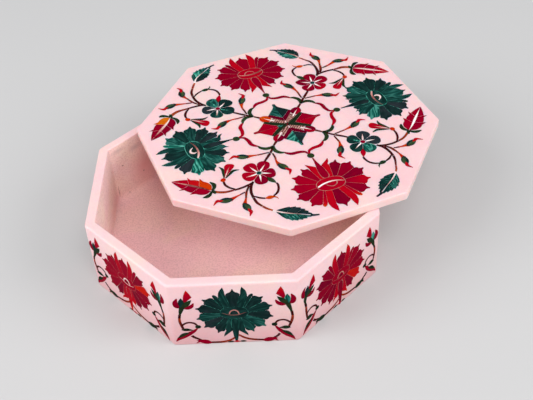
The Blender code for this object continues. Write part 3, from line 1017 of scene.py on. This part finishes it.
def side_half(motif, flower_stone, sepal_tone):
    """The right half of a side's drawing: foot stem, bud, corner leaves, loop, upright stem and tulip."""
    lay = motif.lay
    line = motif.line
    stem = motif.stem
    bud = ("red", 0.4) if flower_stone == "green" else ("olive", 0.1)
    stem([(1, 5.4), (4, 3.1), (8, 1.7), (13.8, 1.3)], [0.9, 1.1, 1.15, 1], (0.6, 0.15))
    lay(blade((13, 0.9), (20.8, 2.9), 1.7, 1.6, 0, 0.4), *bud, 0, 1, 0)
    line([(17.2, 2.4), (19.4, 1.8), (20.8, 0.7)], [0.9, 1.1, 0.4], *bud)
    stem([(18.2, 2.9), (20.3, 4.6), (21.9, 7)], [0.9, 1.1, 1.15], 0.15)
    corner_leaf = [(19, 13.2), (21.5, 9.9), (25, 6.9), (27.8, 4.9), (29.8, 2.4)]
    line(corner_leaf, [0.6, 2.2, 2.8, 2.4, 0.4], "red", 0.42)
    lay(blade((22.6, 9.4), (28.9, 4.7), 1.4, 0.8, 0.3, 0.45), "olive", 0.1, -40, 1, 0)
    lay(blade((20.9, 11.2), (27.2, 11.7), 1.25, 1.15, 0.2, 0.6), "olive", 0.1, 0, 3, 0)
    lay(disc((18.9, 13.8), 1.45, 1.3), "olive", 0.05, 0, 1, 0)
    stem([(19.1, 14.4), (20.5, 16.5), (23, 17.3), (25.2, 16.6), (26.8, 15)], [0.85, 1, 0.95, 0.95, 0.8], 0.2)
    stem([(25.8, 11.4), (26.7, 14.4), (27.5, 18), (27.6, 20.6)], [0.85, 1.1, 1.15, 1.05], (0.2, 0.75))
    stem([(27.6, 20.5), (27.4, 23.4)], [1.1, 1.2], 0.1)
    line([(27.4, 23), (26.9, 26), (26, 29.4)], [1, 2.2, 2.8], "olive", 0.2, 1)
    line([(26.6, 28.6), (28.6, 29.6), (29.1, 32.2), (28.1, 35)], [1.6, 2.8, 2.6, 0.6], "red", (0.3, 0.45))
    line([(25.9, 28.4), (23.4, 28), (21.6, 29), (20.4, 31.2)], [1.8, 2.5, 2.3, 0.5], "red", (0.3, 0.45))
    lay(blade((26.3, 27.9), (26.2, 35.2), 1.6, 1.5, -0.1, 0.5), "green", sepal_tone, 90, 2, 0)
    lay(blade((26.6, 27.8), (21.2, 33.6), 1.5, 1.5, 0, 0.45), "olive", 0.2, 135, 3, 0)
    petal = curve([(25, 31.2), (22.8, 33.4), (20.8, 35.4)], 3)
    petal += curve([(21, 35.9), (22, 38.4), (23.2, 40.6)], 3)
    petal += curve([(23.4, 40.4), (24.6, 37.6), (25.2, 34.6), (25.4, 31.8)], 3)
    lay(petal, "red", (0.42, 0.9), 110, 0, None, (25, 31))


def foot_dash(motif):
    """A short band of three stones under the long petal."""
    stones = ((-4.6, -1, "olive", 0.1, 0), (-1.4, 1.9, "red", 0.7, 1), (1.6, 5, "olive", 0.1, 1))
    for start, end, *look in stones:
        motif.line([(start, 1.1), ((start + end) / 2, 1.2), (end, 1.1)], [0.4, 1.3, 0.4], *look)


# Laying the whole inlay


SIDE_NAMES = ("right", "back_right", "back", "back_left", "left", "front_left", "front", "front_right")
SPEAR_FOOT = [(0, 4.85), (0.9, 5.1), (1.9, 6.4)]
SPEAR = [*SPEAR_FOOT, (2.15, 9.5), (1.95, 12.6), (1.45, 15.4), (1, 17.6), (0.65, 19.8), (0.4, 22.8)]
SIDE_SPEAR = [*SPEAR_FOOT, (2.1, 9.5), (2, 13.5), (1.7, 17), (1.3, 20.5), (0.8, 23.5), (0.5, 25)]

# Each large flower on the lid: its tones, those of its tucked petals, the move of its middle, the tips of its
# horns, and the tones of the arc across its eye
LID_FLOWERS = {
    "right": (
        (0.3, 0.5, 0.2, 0.15, 0.1, 0.3, 0.65, 0.05, 0.1, 0.03, 0.45), (0.3, 0.2), (1.1, 0.5),
        ((7.2, 17.1), (6.8, 16.9)), (0.05, 0.6),
    ),
    "back": (
        (0.4, 0.36, 0.34, 0.4, 0.37, 0.34, 0.41, 0.37, 0.33, 0.4, 0.4), (0.35, 0.35), (-0.1, 0.6),
        ((6.6, 19.6), (6.6, 19.4)), (0.15, 0.55),
    ),
    "left": (
        (0.15, 0.45, 0.35, 0.85, 0, 0.03, 0.1, 0.3, 0.2, 0.45, 0.15), (0.1, 0.92), (0.5, 0.4),
        ((5.4, 18.4), (7.4, 18.8)), (0.1, 0.8),
    ),
    "front": (
        (0.27, 0.4, 0.28, (0.42, 0.8), 0.36, 0.43, 0.52, 0.5, 0.38, 0.48, 0.28), ((0.4, 0.98), (0.4, 0.98)),
        (0.2, -0.4), ((7.2, 19.6), (6.4, 19.6)), (1, 0.4),
    ),
}

# Each quarter of the lid: its flips, and the tones of its small flower, its leaf, the leaf's rib, its bud and
# the bud's rib
QUARTERS = {
    "back_right": (
        (1, 1), (0.4, 0.38, 0.28, 0.36, (0.35, 0.7)), (0.05, 0.1, 0.25, 0.45, 0.65, 0.45), (0.6, 0.1),
        (0.5, 0.45, (0.5, 0.82), 0.42, 0.44, (0.5, 0.82)), 0.7,
    ),
    "back_left": (
        (-1, 1), (0, 0.5, 0.15, 0.2, 0.3), (0.35, 1, 0.4, 0, 0.1, 0.4), (0.95, 0.3),
        (0.3, 0.32, 0.34, 0.99, 0.4, 0.38), (0.85, 0.1),
    ),
    "front_left": (
        (-1, -1), (0.6, 0.32, 0.35, 0.45, 0.55), (0.35, 0.55, 0.45, 0.12, 0.05, 0.05), (0.8, 0.1),
        (0.88, 0.75, 0.6, 0.45, 0.4, 0.5), (0, 0.55),
    ),
    "front_right": (
        (1, -1), (0, 0.75, 0.2, 0.25, 0), (0.4, 0.42, 0.3, 0.25, 0.25, 0.1), (0.8, 0.2),
        (0.5, 0.42, 0.5, 0.4, 0.42, 0.4), 0.95,
    ),
}

# Each part of a quarter's drawing: its middle, then how it was set in each quarter, as right, up and degrees
LID_DRIFTS = (
    ((14, 14), (0, 0, 0), (0, 0, 0), (0, 0, 0), (0, 0, 0)),
    ((30.8, 32), (-1.2, -1.4, 0), (-0.4, -1.3, 0), (-0.4, 0.4, 0), (0, 0.2, 0)),
    ((26.5, 67.5), (2.9, -1.3, -16), (0.8, 1, 0), (-0.9, 1.7, 4), (0.4, 1.2, 0)),
    ((66.5, 27), (0.3, 1.4, 4), (-1, -0.6, 0), (-0.4, 0.2, 0), (0.5, -0.8, -4)),
    ((46, 25), (-1.6, -1.4, -8), (-1.5, -1.3, -4), (-0.5, -0.5, 8), (-0.2, -0.2, -8)),
    ((34.5, 16), (-1.4, -0.2, 0), (-0.6, -0.4, 0), (-0.4, 0.4, 4), (0.2, 0.4, 0)),
    ((16.6, 34), (-1, 0.3, 4), (-1.5, -1.5, 4), (0.6, -0.8, 0), (0.4, -0.2, 4)),
    ((45.2, 55), (-2.6, -0.3, 12), (-0.5, -1, 4), (0.8, -0.4, 0), (-1.6, 1.2, 4)),
    ((53.5, 44.4), (0.5, 0.8, 4), (1.2, 0.3, 4), (0.3, 0.8, 4), (0.4, -0.2, -4)),
    ((31, 51.5), (-2.7, -2, -4), (-1.8, -0.5, 4), (0, 0.6, 0), (-0.2, 0.4, -4)),
    ((26.5, 41.5), (-1.5, -1.9, 4), (-0.4, -0.6, 4), (-0.2, 0, 0), (-0.2, 0.4, 0)),
    ((40, 48), (-2, -1.2, 0), (-0.8, -1, 0), (-0.2, -0.4, -4), (-0.4, 0, 0)),
    ((47, 38.5), (-0.8, -1.8, 0), (-1.5, -1.5, 4), (-0.8, -0.1, 4), (0.6, 0.2, -4)),
    ((19.5, 19.5), (-1, -0.4, 0), (-1.4, -1.6, 0), (-1, 0.2, 0), (0.3, 0.8, -4)),
)

# The same for a side: the left and right half of the front left, the front and the front right one
SIDE_DRIFTS = (
    ((25, 32.5), (0, 0, 0), (-2.4, 0, -4), (-1.4, 0, 0), (-0.2, 0.2, 0), (-1.8, -0.6, 12), (-0.2, -0.8, 0)),
    (
        (22, 15.5), (1.5, 0.3, 0), (-1.8, -0.1, 4), (-0.6, -0.2, 0), (0.5, -0.8, -4), (-2.1, -0.7, 8),
        (1.2, 0.2, 8),
    ),
    (
        (25, 7.5), (1.6, -0.2, -8), (-1.9, -1.6, -8), (0.2, 0.2, 4), (-0.1, -1.2, -4), (-1.9, -1.3, -4),
        (0.6, 0, -4),
    ),
    (
        (17, 2), (0.5, 0.9, -8), (-2.5, 0.1, -4), (-0.8, 0.1, 4), (0.2, 0, -4), (-2.4, 0.2, -4),
        (-0.3, 1.2, -4),
    ),
)
SIDE_MOVES = ((-2, 0.2), (0, 0.2), (0.9, -0.6))

# A side's flower: its tones, those of its horns and spear, the tips of its horns, and the tone of its arch
SIDE_LOOKS = (
    (
        (0.27, 0.38, 0.45, 0.42, 0.43, 0.26, 0.31, 0.35, 0.82, 0.3, 0.42), (0.5, 0.86), (0.6, 0.88),
        ((7.4, 19), (5.2, 18.2)), 0.8,
    ),
    (
        (0.12, 0.08, 0.3, 0.1, 0.15, 0.25, 0.38, 0.1, 0.2, 0.1, 0.12), 0.2, (0.15, 0.3),
        ((6.9, 20.2), (7, 20)), 0.35,
    ),
    (
        (0.27, 0.3, 0.36, 0.25, 0.36, 0.3, 0.79, 0.4, 0.33, 0.42, 0.3), (0.5, 0.88), 0.3,
        ((6.6, 18.6), (6.3, 19)), 0.35,
    ),
)


def lay_lid():
    for arm, (name, looks) in enumerate(LID_FLOWERS.items()):
        tones, tucked, move, tips, arc_tones = looks
        if arm % 2:
            stone, joint, horn_tone, spear_tone, eye_tone = "red", RED_JOINT, 0.7, 0.4, 0.62
        else:
            stone, joint, horn_tone, spear_tone, eye_tone = "green", GREEN_JOINT, 0.3, 0.08, 0.25
        flower = Motif(f"lid_flower_{name}_stones", lid_sheet, 11 + arm, joint)
        middle = Matrix.Rotation(math.radians(90 * arm), 2) @ Vector((LID_FLOWER_REACH, 0)) + Vector(move)
        flower.place(middle, 90 * arm + 90)
        large_flower(flower, stone, tones, horn_tone, spear_tone, tucked, tips, SPEAR)
        eye_with_moon(flower, stone, eye_tone, arc_tones)
        flower.build(f"{stone}_stone", f"lid_flower_{name}")
        bead = Motif(f"lid_bead_{name}_stone", lid_sheet, 21 + arm)
        bead.place((0, 0), 90 * arm)
        bead.lay(disc((30.9, 0.2), 2), "olive", 0.4, 0, 1, 0)
        bead.build("green_stone", f"lid_bead_{name}")
    middle = Motif("lid_rosette_stones", lid_sheet, 31)
    rosette(middle)
    middle.build("red_stone", "lid_rosette")
    ring = Motif("lid_garland_stones", lid_sheet, 32)
    garland(ring)
    ring.build("red_stone", "lid_garland")
    for order, name in enumerate(QUARTERS):
        lay_quarter(order, name)


def lay_quarter(order, name):
    flip, petals, leaf_tones, leaf_rib, bud_tones, bud_rib = QUARTERS[name]
    stone = "red" if flip[0] == flip[1] else "green"
    drift = [(row[0], row[1 + order]) for row in LID_DRIFTS]
    parts = (
        ("small_flower", f"{stone}_stone", small_flower, (stone, petals)),
        ("leaf", "green_stone", leaf, (leaf_tones, leaf_rib)),
        ("bud", "red_stone", big_bud, (bud_tones, bud_rib)),
        ("tulip", "red_stone", tulip, ()),
        ("stem", "red_stone", quarter_stems, (stone,)),
    )
    for part, slot, draw, looks in parts:
        motif = Motif(f"lid_{part}_stones_{name}", lid_sheet, 41 + 7 * order, JOINT, flip, drift)
        draw(motif, *looks)
        motif.build(slot, *([] if part == "stem" else [f"lid_{part}_{name}"]))


def lay_sides():
    for side, name in enumerate(SIDE_NAMES):
        facing = side * EIGHTH
        outward = towards(facing) * half_width
        turn = Matrix.Rotation(facing + math.pi / 2, 4, "Z") @ Matrix.Rotation(math.pi / 2, 4, "X")
        sheet = Matrix.Translation(outward) @ turn
        # The patterns of the three sides that show, in turn
        pattern = (side - 5) % 3
        right, up = SIDE_MOVES[pattern]
        if side % 2:
            stone, tucked, eye_tone = "red", (0.35, 0.4), 0.45
            looks = SIDE_LOOKS[side // 2 % 2 * 2]
        else:
            stone, tucked, eye_tone = "green", (0.2, 0.15), 0.18
            looks = SIDE_LOOKS[1]
        tones, horn_tone, spear_tone, tips, arch_tone = looks
        flower = Motif(f"side_flower_{name}_stones", sheet, 101 + side)
        flower.place((right, SIDE_FLOWER_HEIGHT + up), 180, SIDE_FLOWER_SCALE)
        large_flower(flower, stone, tones, horn_tone, spear_tone, tucked, tips, SIDE_SPEAR)
        eye_with_arch(flower, stone, eye_tone, arch_tone)
        flower.build(f"{stone}_stone", f"side_flower_{name}")
        for sign, half, sepal_tone in ((-1, "left", 0.15), (1, "right", 0.7)):
            column = 1 + 2 * pattern + (sign > 0)
            drift = [(row[0], row[column]) for row in SIDE_DRIFTS]
            stems = Motif(f"side_{half}_stems_{name}", sheet, 121 + 2 * side + sign, JOINT, (sign, 1), drift)
            side_half(stems, stone, sepal_tone)
            stems.build("red_stone", f"side_{half}_tulip_{name}")
        dash = Motif(f"side_foot_{name}", sheet, 151 + side)
        foot_dash(dash)
        dash.build("green_stone")


# Studio


def build_floor():
    shape = bmesh.new()
    bmesh.ops.create_grid(shape, x_segments=1, y_segments=1, size=6)
    material, tree, shader = new_material("pale_floor", 0.9, 0.1)
    shader.inputs["Base Color"].default_value = (0.6, 0.6, 0.6, 1)
    floor = mesh_object("floor", shape, (material,))


def area_light(name, place, size, power):
    """A round soft light that shines on the box."""
    data = bpy.data.lights.new(name, "AREA")
    data.shape = "DISK"
    data.size = size
    data.energy = power
    light = add_object(name, data)
    light.location = place
    light.rotation_euler = (Vector(LIT_POINT) - Vector(place)).to_track_quat("-Z", "Y").to_euler()


def build_studio():
    for light in LIGHTS:
        area_light(*light)
    world = bpy.data.worlds.new("studio")
    world.use_nodes = True
    background = world.node_tree.nodes["Background"]
    background.inputs["Color"].default_value = (0.82, 0.82, 0.84, 1)
    background.inputs["Strength"].default_value = 0.47
    scene.world = world
    scene.view_settings.view_transform = "Standard"
    scene.view_settings.look = "None"


def build_camera():
    data = bpy.data.cameras.new("camera")
    data.sensor_fit = "HORIZONTAL"
    data.sensor_width = SENSOR_WIDTH
    data.lens = CAMERA_LENS
    data.clip_start = 0.01
    forward = Vector((
        math.sin(CAMERA_HEADING) * math.cos(CAMERA_PITCH),
        math.cos(CAMERA_HEADING) * math.cos(CAMERA_PITCH),
        math.sin(CAMERA_PITCH),
    ))
    level = forward.cross(Vector((0, 0, 1))).normalized()
    down = forward.cross(level)
    right = level * math.cos(CAMERA_ROLL) + down * math.sin(CAMERA_ROLL)
    up = right.cross(forward)
    camera = add_object("camera", data)
    turn = Matrix((right, up, -forward)).transposed().to_4x4()
    camera.matrix_world = Matrix.Translation(CAMERA_PLACE) @ turn
    bpy.context.scene.camera = camera


# Painted shade: the box's marble is painted darker towards its foot
box_marble = marble_polished("box_marble", 0, PAINTED_SHADE_TOP, (0.78, 0.64, 0.65), 0.35)
# Painted light: the lid's edge and underside are painted lighter below lid_edge, a painted glow
lid_edge = lid_high.z - LID_ROUNDING
lid_marble = marble_polished("lid_marble", lid_edge, lid_edge + LID_ROUNDING / 2, (1.05, 1.09, 1.03), 0.85)
build_marble_box(box_marble, marble_ground("ground_marble"))
build_marble_lid(lid_marble)
lay_lid()
lay_sides()
build_floor()
build_studio()
build_camera()
